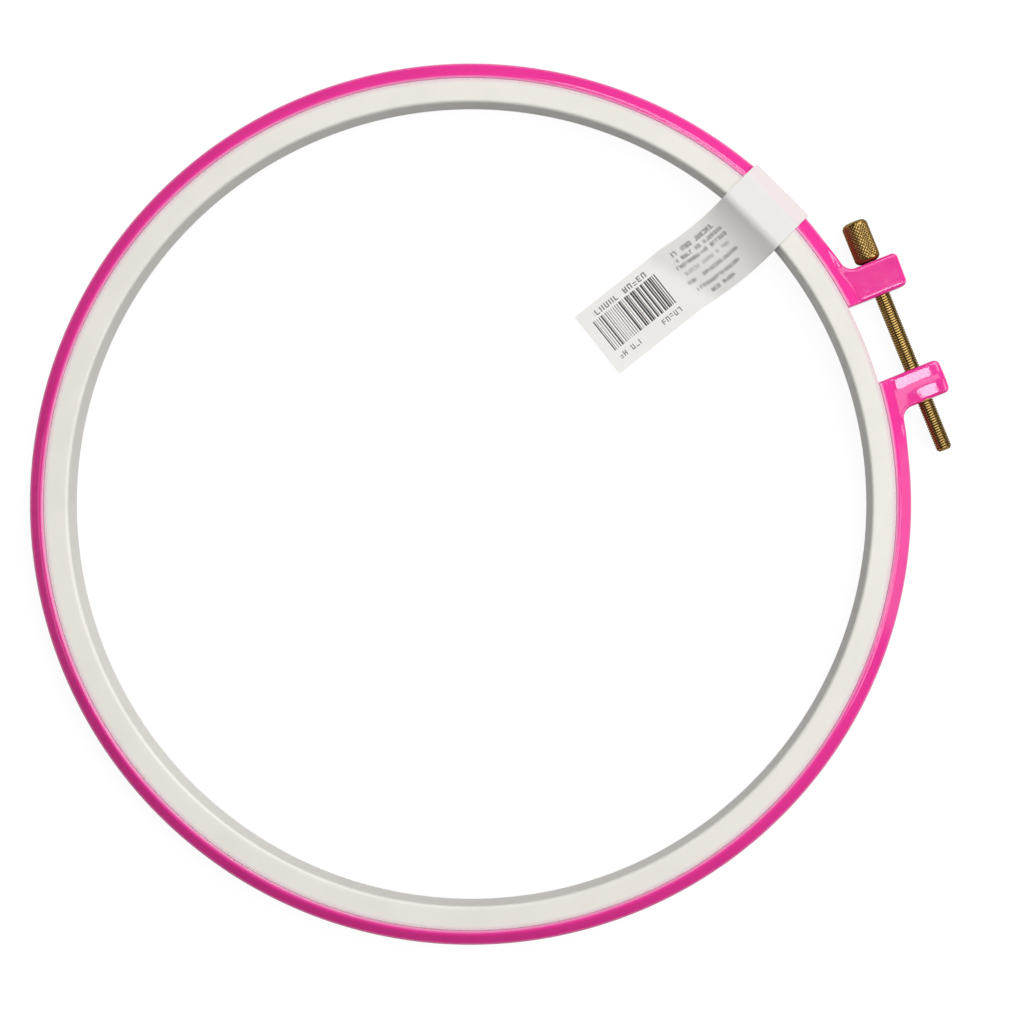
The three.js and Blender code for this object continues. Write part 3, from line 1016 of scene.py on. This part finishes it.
@dataclass
class ClampScrew:
    """The brass thumb screw: a diamond-knurled barrel head on a threaded shank."""

    hoop: HoopSizes
    finish: TurnedBrass
    seat_gap: float = 0.0003
    head_radius: float = 0.0041
    head_length: float = 0.0137
    head_round: float = 0.0017
    knurl_depth: float = 0.0002
    knurl_around: int = 21
    knurl_along: int = 8
    knurl_flank: float = 2.4
    knurl_middle: float = 0.5
    knurl_fade: int = 4
    knurl_samples: int = 10
    tip_reach: float = 0.0169
    tip_chamfer: float = 0.0008
    pitch: float = 0.0008
    thread_depth: float = 0.0003
    crest_share: float = 0.58
    flank_share: float = 0.3
    thread_columns: int = 70
    thread_rows: int = 14
    crease: float = 50.0
    round_steps: int = 8

    def knurl(self, y: float) -> np.ndarray:
        """Gives how deep the knurl lies at each column of the head.

        Args:
            y: Place on the axis from the knurl's start.

        Returns:
            Depths from 0, on a flat-topped diamond, to 1, in a groove.
        """
        around = np.arange(self.knurl_around * self.knurl_samples) / self.knurl_samples
        along = y / (self.head_length - 2 * self.head_round) * self.knurl_along
        waves = [np.abs(2 * np.mod(around + side * along, 1.0) - 1) for side in (1, -1)]
        return np.clip(1.0 - self.knurl_flank * np.minimum(*waves), 0.0, 1.0)

    def head(self) -> tuple[list[np.ndarray], list[np.ndarray]]:
        """Draws the knurled head from its seat to its far end.

        Returns:
            Loops of points along the axis, and the groove's depth at each of their points.
        """
        rounds = [
            (self.head_round * (1 - math.cos(angle)), math.sin(angle))
            for angle in quarter_turn(self.round_steps)[:-1]
        ]
        rows = self.knurl_along * self.knurl_samples
        barrel = np.linspace(self.head_round, self.head_length - self.head_round, rows + 1)
        places = [*rounds, *((y, 1.0) for y in barrel)]
        places += [(self.head_length - y, rise) for y, rise in reversed(rounds)]
        loops, marks = [], []
        for y, rise in places:
            shown = rise**self.knurl_fade
            depth = self.knurl(y - self.head_round) * shown
            cut = self.knurl_depth * (depth + self.knurl_middle * (1 - shown))
            loops.append(axis_loop(y, self.head_radius - self.head_round * (1 - rise) - cut))
            marks.append(depth)
        return loops, marks

    def shank(self) -> tuple[list[np.ndarray], list[np.ndarray]]:
        """Draws the threaded shank from the head's seat to its chamfered tip.

        Returns:
            Loops of points along the axis, and the groove's depth at each of their points.
        """
        length = self.seat_gap + 2 * self.hoop.lug_face + self.tip_reach
        rows = round(length / self.pitch * self.thread_rows)
        turns = np.arange(self.thread_columns) / self.thread_columns
        loops, marks = [], []
        for row in range(rows + 1):
            y = -length * row / rows
            wave = np.abs(2 * np.mod(y / self.pitch - turns, 1.0) - 1)
            depth = np.clip((wave - self.crest_share) / self.flank_share, 0.0, 1.0)
            limit = self.hoop.screw_radius - max(0.0, self.tip_chamfer - (length + y))
            loops.append(axis_loop(y, np.minimum(self.hoop.screw_radius - self.thread_depth * depth, limit)))
            marks.append(depth)
        return loops, marks

    def build(self) -> bpy.types.Object:
        """Builds and dresses the screw.

        Returns:
            The screw.
        """
        head, head_marks = self.head()
        shank, shank_marks = self.shank()
        sketch = MeshSketch()
        seat = sketch.loft(head, open_start=True)
        neck = sketch.loft(shank, open_start=True)
        sketch.fan_band(neck, seat)
        screw = sketch.build("brass_clamp_screw", self.crease)
        mark_grooves(screw, np.concatenate([*head_marks, *shank_marks]))
        self.hoop.thread_on(screw, self.hoop.lug_face + self.seat_gap)
        hand_over(screw, self.finish.material(), "clamp_screw", Body.CLAMP_SCREW)
        return screw


@dataclass
class ThreadedInsert:
    """The round brass nut in the lower lug."""

    hoop: HoopSizes
    finish: TurnedBrass
    bore: float = 0.00265
    radius: float = 0.0032
    length: float = 0.008
    chamfer: float = 0.0003
    groove_width: float = 0.0018
    groove_depth: float = 0.0002
    crease: float = 30.0
    steps: int = 72

    def build(self) -> bpy.types.Object:
        """Builds and dresses the insert.

        Returns:
            The insert.
        """
        start = (self.length - self.groove_width) / 2
        end = start + self.groove_width
        bottom = self.radius - self.groove_depth
        profile = [
            (self.bore, 0.0, 0.0),
            (self.radius - self.chamfer, 0.0, 0.0),
            (self.radius, self.chamfer, 0.0),
            (self.radius, start, 0.0),
            (bottom, start, 1.0),
            (bottom, end, 1.0),
            (self.radius, end, 0.0),
            (self.radius, self.length - self.chamfer, 0.0),
            (self.radius - self.chamfer, self.length, 0.0),
            (self.bore, self.length, 0.0),
        ]
        sketch = MeshSketch()
        sketch.loft([axis_loop(y, np.full(self.steps, radius)) for radius, y, _ in profile], ring=True)
        insert = sketch.build("brass_insert", self.crease)
        mark_grooves(insert, np.repeat([mark for _, _, mark in profile], self.steps))
        self.hoop.thread_on(insert, -self.hoop.lug_face)
        hand_over(insert, self.finish.material(), "threaded_insert", Body.SCREW_NUT)
        return insert


@dataclass
class HangTag:
    """The paper tag: one strip folded round both rings, with its two ends stuck together as a tail."""

    hoop: HoopSizes
    finish: LabelPaper
    angle: float = math.radians(23.2)
    width: float = 0.0232
    leaf: float = 0.00025
    ply: float = 0.00024
    clearance: float = 0.0003
    tail_reach: float = 0.0617
    tail_turn: float = math.radians(-6.8)
    ramp: float = 0.027
    ramp_skew: float = 0.0049
    knee_run: float = 0.0066
    knee_height: float = 0.0055
    fold: float = 0.0012
    shoulder: float = 0.003
    brow: float = 0.004
    knee: float = 0.025
    floor_bend: float = 0.016
    curl: float = 0.0008
    curl_reach: float = 0.02
    curl_middle: float = 0.6
    curl_tilt: float = 0.4
    stretch_margins: Span = (0.0015, 0.001)
    unprinted: float = -1.0
    crease: float = 40.0
    columns: int = 24
    arc_steps: int = 10
    run_steps: tuple[int, ...] = (60, 8, 4, 8, 6, 14, 40, 1)

    @property
    def bore_edge(self) -> float:
        """Distance from the hoop's axis at which the strip folds down into the bore."""
        return math.sqrt(self.hoop.bore_radius**2 - (self.width / 2) ** 2) - self.clearance

    def column(self, share: float) -> np.ndarray:
        """Draws the strip's outer side along one column.

        Args:
            share: The column's place, from -1 at one edge to 1 at the other.

        Returns:
            Points in the plane of the distance from the axis and the height.
        """
        hoop, off = self.hoop, self.clearance + self.leaf
        top = hoop.ring_height + off
        side = hoop.outer_radius + off
        tail_top = 2 * self.leaf - off
        tail_end = self.bore_edge - self.tail_reach
        ramp_end = self.bore_edge - self.ramp - self.ramp_skew * share
        corners = [
            (tail_end, -off, 0.0),
            (side, -off, self.fold),
            (side, hoop.ring_edge_height + off, self.fold),
            (hoop.crest_end, top, self.shoulder),
            (self.bore_edge, top, self.brow),
            (self.bore_edge - self.knee_run, self.knee_height - off, self.knee),
            (ramp_end, tail_top, self.floor_bend),
            (tail_end, tail_top, 0.0),
        ]
        return rounded_path(corners, self.arc_steps, self.run_steps)

    def strip(self) -> tuple[np.ndarray, np.ndarray, float]:
        """Draws the strip across all its columns.

        Returns:
            Loops of points round the strip's section across, the same for the paper's own measures,
            and the strip's length.
        """
        outer, inner, chart = [], [], []
        length = 0.0
        for share in np.linspace(-1.0, 1.0, self.columns + 1):
            path = self.column(share)
            tangent = np.gradient(path, axis=0)
            tangent /= np.linalg.norm(tangent, axis=1)[:, None]
            inward = np.column_stack((-tangent[:, 1], tangent[:, 0]))
            steps = np.linalg.norm(np.diff(path, axis=0), axis=1)
            from_end = np.concatenate((np.cumsum(steps[::-1])[::-1], [0.0]))
            length = max(length, float(from_end[0]))
            across = np.full(len(path), share * self.width / 2)
            outer.append(self.lie(path, across))
            inner.append(self.lie(path + inward * self.ply, across))
            chart.append(np.column_stack((self.width / 2 - across, from_end)))
        back = [np.column_stack((one[:, 0], np.full(len(one), self.unprinted))) for one in reversed(chart)]
        return np.stack([*outer, *reversed(inner)], axis=1), np.stack([*chart, *back], axis=1), length

    def lie(self, flat: np.ndarray, across: np.ndarray) -> np.ndarray:
        """Swings the tail sideways, curls its end and sets the strip at its angle on the hoop.

        Args:
            flat: Points in the plane of the distance from the axis and the height.
            across: Distances across the strip.

        Returns:
            Points in the hoop's own place.
        """
        reach, height = flat.T
        turn = self.tail_turn * np.clip((self.bore_edge - reach) / self.ramp, 0.0, 1.0)
        x, y = swing(reach - self.bore_edge, across, turn)
        near_end = np.clip(1 - (reach - self.bore_edge + self.tail_reach) / self.curl_reach, 0.0, 1.0)
        share = self.curl_middle - self.curl_tilt * across / (self.width / 2)
        x, y = swing(self.bore_edge + x, y, self.angle)
        return np.column_stack((x, y, height + self.curl * near_end**2 * share))

    def build(self) -> bpy.types.Object:
        """Builds and dresses the tag.

        Returns:
            The tag.
        """
        loops, chart, length = self.strip()
        sketch = MeshSketch()
        sketch.loft(loops)
        tag = sketch.build("paper_hang_tag", self.crease)
        layer = tag.data.uv_layers.new(name=PAPER_CHART)
        corners = np.empty(len(tag.data.loops), dtype=int)
        tag.data.loops.foreach_get("vertex_index", corners)
        layer.data.foreach_set("uv", chart.reshape(-1, 2)[corners].ravel())
        self.hoop.settle(tag)
        hand_over(tag, self.finish.material(), "hang_tag", None)
        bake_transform(tag)
        log.info("tag strip: %.1f x %.1f mm", self.width * 1000, length * 1000)
        return tag


@dataclass(frozen=True)
class SoftLamp:
    """A soft lamp, aimed at the hoop's middle. Its size is that along its azimuth's tangent, then up."""

    name: str
    azimuth: float
    zenith: float
    distance: float
    size: Span
    power: float
    roll: float = 0.0

    def build(self, target: Vector) -> bpy.types.Object:
        """Hangs the lamp.

        Args:
            target: The point that it shines at.

        Returns:
            The lamp.
        """
        light = bpy.data.lights.new(self.name, "AREA")
        light.shape = "RECTANGLE"
        light.energy = self.power
        light.size, light.size_y = self.size
        lamp = bpy.data.objects.new(self.name, light)
        turn, lean = math.radians(self.azimuth), math.radians(self.zenith)
        away = Vector((math.sin(lean) * math.cos(turn), math.sin(lean) * math.sin(turn), math.cos(lean)))
        lamp.location = target + away * self.distance
        aim = away.to_track_quat("Z", "Y") @ Quaternion((0.0, 0.0, 1.0), math.radians(self.roll))
        lamp.rotation_euler = aim.to_euler()
        bpy.context.scene.collection.objects.link(lamp)
        return lamp


@dataclass
class Studio:
    """The pale floor, the lamps, the surrounding light and the camera."""

    lamps: tuple[SoftLamp, ...]
    target: Vector
    surround: float = 0.06
    floor_reach: float = 12.0
    floor_drop: float = 0.0002
    floor_grey: float = 0.25
    floor_shade: float = 0.1
    floor_white: float = 0.93
    floor_roughness: float = 0.9
    eye: tuple[float, float, float] = (0.0199, -0.0070, 0.51055)
    turn: float = math.radians(-22)
    lens: float = 55.68
    sensor: float = 36.0
    shift: Span = (-0.0453, -0.0191)
    sight: Span = (0.01, 100.0)

    def build_floor(self) -> bpy.types.Object:
        """Lays the floor, white to the eye and in reflections, and grey as a source of bounced light.

        Returns:
            The floor.
        """
        mesh = bpy.data.meshes.new("floor")
        sides = ((-1, -1), (1, -1), (1, 1), (-1, 1))
        corners = [(x * self.floor_reach, y * self.floor_reach, -self.floor_drop) for x, y in sides]
        mesh.from_pydata(corners, [], [(0, 1, 2, 3)])
        floor = bpy.data.objects.new("floor", mesh)
        bpy.context.scene.collection.objects.link(floor)
        sketch = ShaderSketch("pale_floor")
        rays = sketch.node("LightPath").outputs
        seen = sketch.math("MAXIMUM", rays["Is Camera Ray"], rays["Is Glossy Ray"])
        seen = sketch.math("MAXIMUM", seen, rays["Is Transmission Ray"])
        tone = sketch.mix(seen, (self.floor_grey,) * 3, (self.floor_shade,) * 3)
        sketch.set(Base_Color=tone, Roughness=self.floor_roughness, Specular_IOR_Level=0.0)
        sketch.set(Emission_Color=WHITE, Emission_Strength=sketch.times(seen, self.floor_white))
        mesh.materials.append(sketch.material)
        return floor

    def build_surround(self) -> None:
        """Sets the even light that comes from all sides."""
        world = bpy.data.worlds.new("surround")
        world.use_nodes = True
        background = world.node_tree.nodes["Background"]
        background.inputs["Color"].default_value = (*WHITE, 1.0)
        background.inputs["Strength"].default_value = self.surround
        bpy.context.scene.world = world

    def build_camera(self) -> bpy.types.Object:
        """Sets up the camera, which looks straight down.

        Returns:
            The camera.
        """
        view = bpy.data.cameras.new("camera")
        view.lens = self.lens
        view.sensor_width = self.sensor
        view.shift_x, view.shift_y = self.shift
        view.clip_start, view.clip_end = self.sight
        camera = bpy.data.objects.new("camera", view)
        camera.location = self.eye
        camera.rotation_euler = (0.0, 0.0, self.turn)
        bpy.context.scene.collection.objects.link(camera)
        bpy.context.scene.camera = camera
        return camera

    def build(self) -> None:
        """Sets the whole studio up."""
        self.build_camera()
        self.build_floor()
        self.build_surround()
        for lamp in self.lamps:
            lamp.build(self.target)
        bpy.context.scene.view_settings.view_transform = "Standard"


PINK_PLASTIC = MouldedPlastic(
    name="pink_plastic",
    colour=(0.90, 0.042, 0.335),
    cloud_colour=(0.86, 0.038, 0.315),
    mark_colour=(0.86, 0.45, 0.62),
    # Lighter pink band at the seam: a painted highlight on the seam edge.
    painted_seam_light_colour=(0.88, 0.28, 0.52),
    painted_seam_light_reach=0.0009,
    roughness=(0.08, 0.13),
    specular=0.5,
    seam_radius=0.1349,
    mark_reach=(0.0011, 0.0),
    mark_rarity=0.70,
)
WHITE_PLASTIC = MouldedPlastic(
    name="white_plastic",
    colour=(0.85, 0.818, 0.762),
    cloud_colour=(0.82, 0.789, 0.735),
    mark_colour=(0.74, 0.58, 0.60),
    # Pink-tinted band at the seam: a painted reflection of the pink ring.
    painted_seam_light_colour=(0.84, 0.66, 0.71),
    painted_seam_light_reach=-0.0018,
    roughness=(0.46, 0.54),
    specular=0.4,
    seam_radius=0.1346,
    mark_reach=(-0.0012, 0.0),
    mark_rarity=0.45,
)
SCREW_BRASS = TurnedBrass(
    name="screw_brass",
    crest_colour=(0.38, 0.25, 0.08),
    # Dark colour for painted shade in the grooves and for the stains.
    groove_shade_and_stain_colour=(0.11, 0.06, 0.025),
    roughness=(0.2, 0.4),
)
INSERT_BRASS = TurnedBrass(
    name="insert_brass",
    crest_colour=(0.62, 0.40, 0.12),
    # Dark colour for painted shade in the insert's groove and for the stains.
    groove_shade_and_stain_colour=(0.28, 0.16, 0.05),
    roughness=(0.3, 0.45),
)

# Each row of words: its limits across and along the tag, its cells' pitch and its share of ink.
WORD_ROWS = (
    ((0.0022, 0.0041), (0.0052, 0.0146), 0.0019, 0.9),
    ((0.0022, 0.0041), (0.0171, 0.0266), 0.0019, 0.9),
    ((0.0182, 0.0200), (0.0035, 0.0130), 0.0016, 0.9),
    ((0.0182, 0.0200), (0.0208, 0.0288), 0.0016, 0.9),
    ((0.0029, 0.0045), (0.0364, 0.0532), 0.0012, 1.0),
    ((0.0055, 0.0068), (0.0360, 0.0550), 0.0011, 1.0),
    ((0.0077, 0.0090), (0.0352, 0.0550), 0.0011, 1.0),
    ((0.0105, 0.0118), (0.0362, 0.0535), 0.0011, 0.6),
    ((0.0136, 0.0149), (0.0352, 0.0545), 0.0011, 1.0),
    ((0.0168, 0.0181), (0.0363, 0.0525), 0.0011, 1.0),
    ((0.0195, 0.0208), (0.0375, 0.0485), 0.0011, 1.0),
)
LABEL_PAPER = LabelPaper(
    name="label_paper",
    colour=(0.83, 0.815, 0.79),
    ink_colour=(0.03, 0.03, 0.035),
    # Pinkish grey of the painted shade band over the pink ring's slope, also the fibre tone's colour.
    fibre_tone_and_painted_pink_shade_colour=(0.79, 0.705, 0.70),
    painted_pink_shade_along=(0.0735, 0.0815),
    blocks=(
        PrintBlock(Print.BARS, (0.0049, 0.0166), (0.0033, 0.0284), 0.0008, 1.0),
        *(PrintBlock(Print.WORDS, *row) for row in WORD_ROWS),
    ),
)
LAMPS = (
    SoftLamp("top_lamp", 25.5, 4.44, 1.2, (0.34, 1.5), 5.0, roll=-25.5),
    SoftLamp("key_lamp", 42.0, 52.0, 3.0, (1.6, 1.6), 46.0),
    SoftLamp("side_lamp", -36.0, 52.0, 3.0, (1.4, 1.4), 27.0),
    SoftLamp("fill_lamp", 165.0, 70.0, 3.0, (1.6, 1.6), 8.0),
    SoftLamp("low_lamp", -27.0, 80.0, 2.0, (0.9, 0.5), 1.5),
    SoftLamp("upper_gloss_lamp", 38.5, 25.1, 1.215, (0.14, 0.14), 0.92),
    SoftLamp("lower_gloss_lamp", -36.9, 25.2, 1.215, (0.14, 0.14), 0.92),
)


def main() -> None:
    """Builds the studio and the hoop, piece by piece."""
    logging.basicConfig(level=logging.INFO, format="%(message)s")
    hoop = HoopSizes()
    Studio(LAMPS, hoop.middle).build()
    pieces = [
        OuterRing(hoop, PINK_PLASTIC).build(),
        InnerRing(hoop, WHITE_PLASTIC).build(),
        ClampScrew(hoop, SCREW_BRASS).build(),
        ThreadedInsert(hoop, INSERT_BRASS).build(),
        HangTag(hoop, LABEL_PAPER).build(),
    ]
    log.info("%d pieces built", len(pieces))


if __name__ == "__main__":
    main()
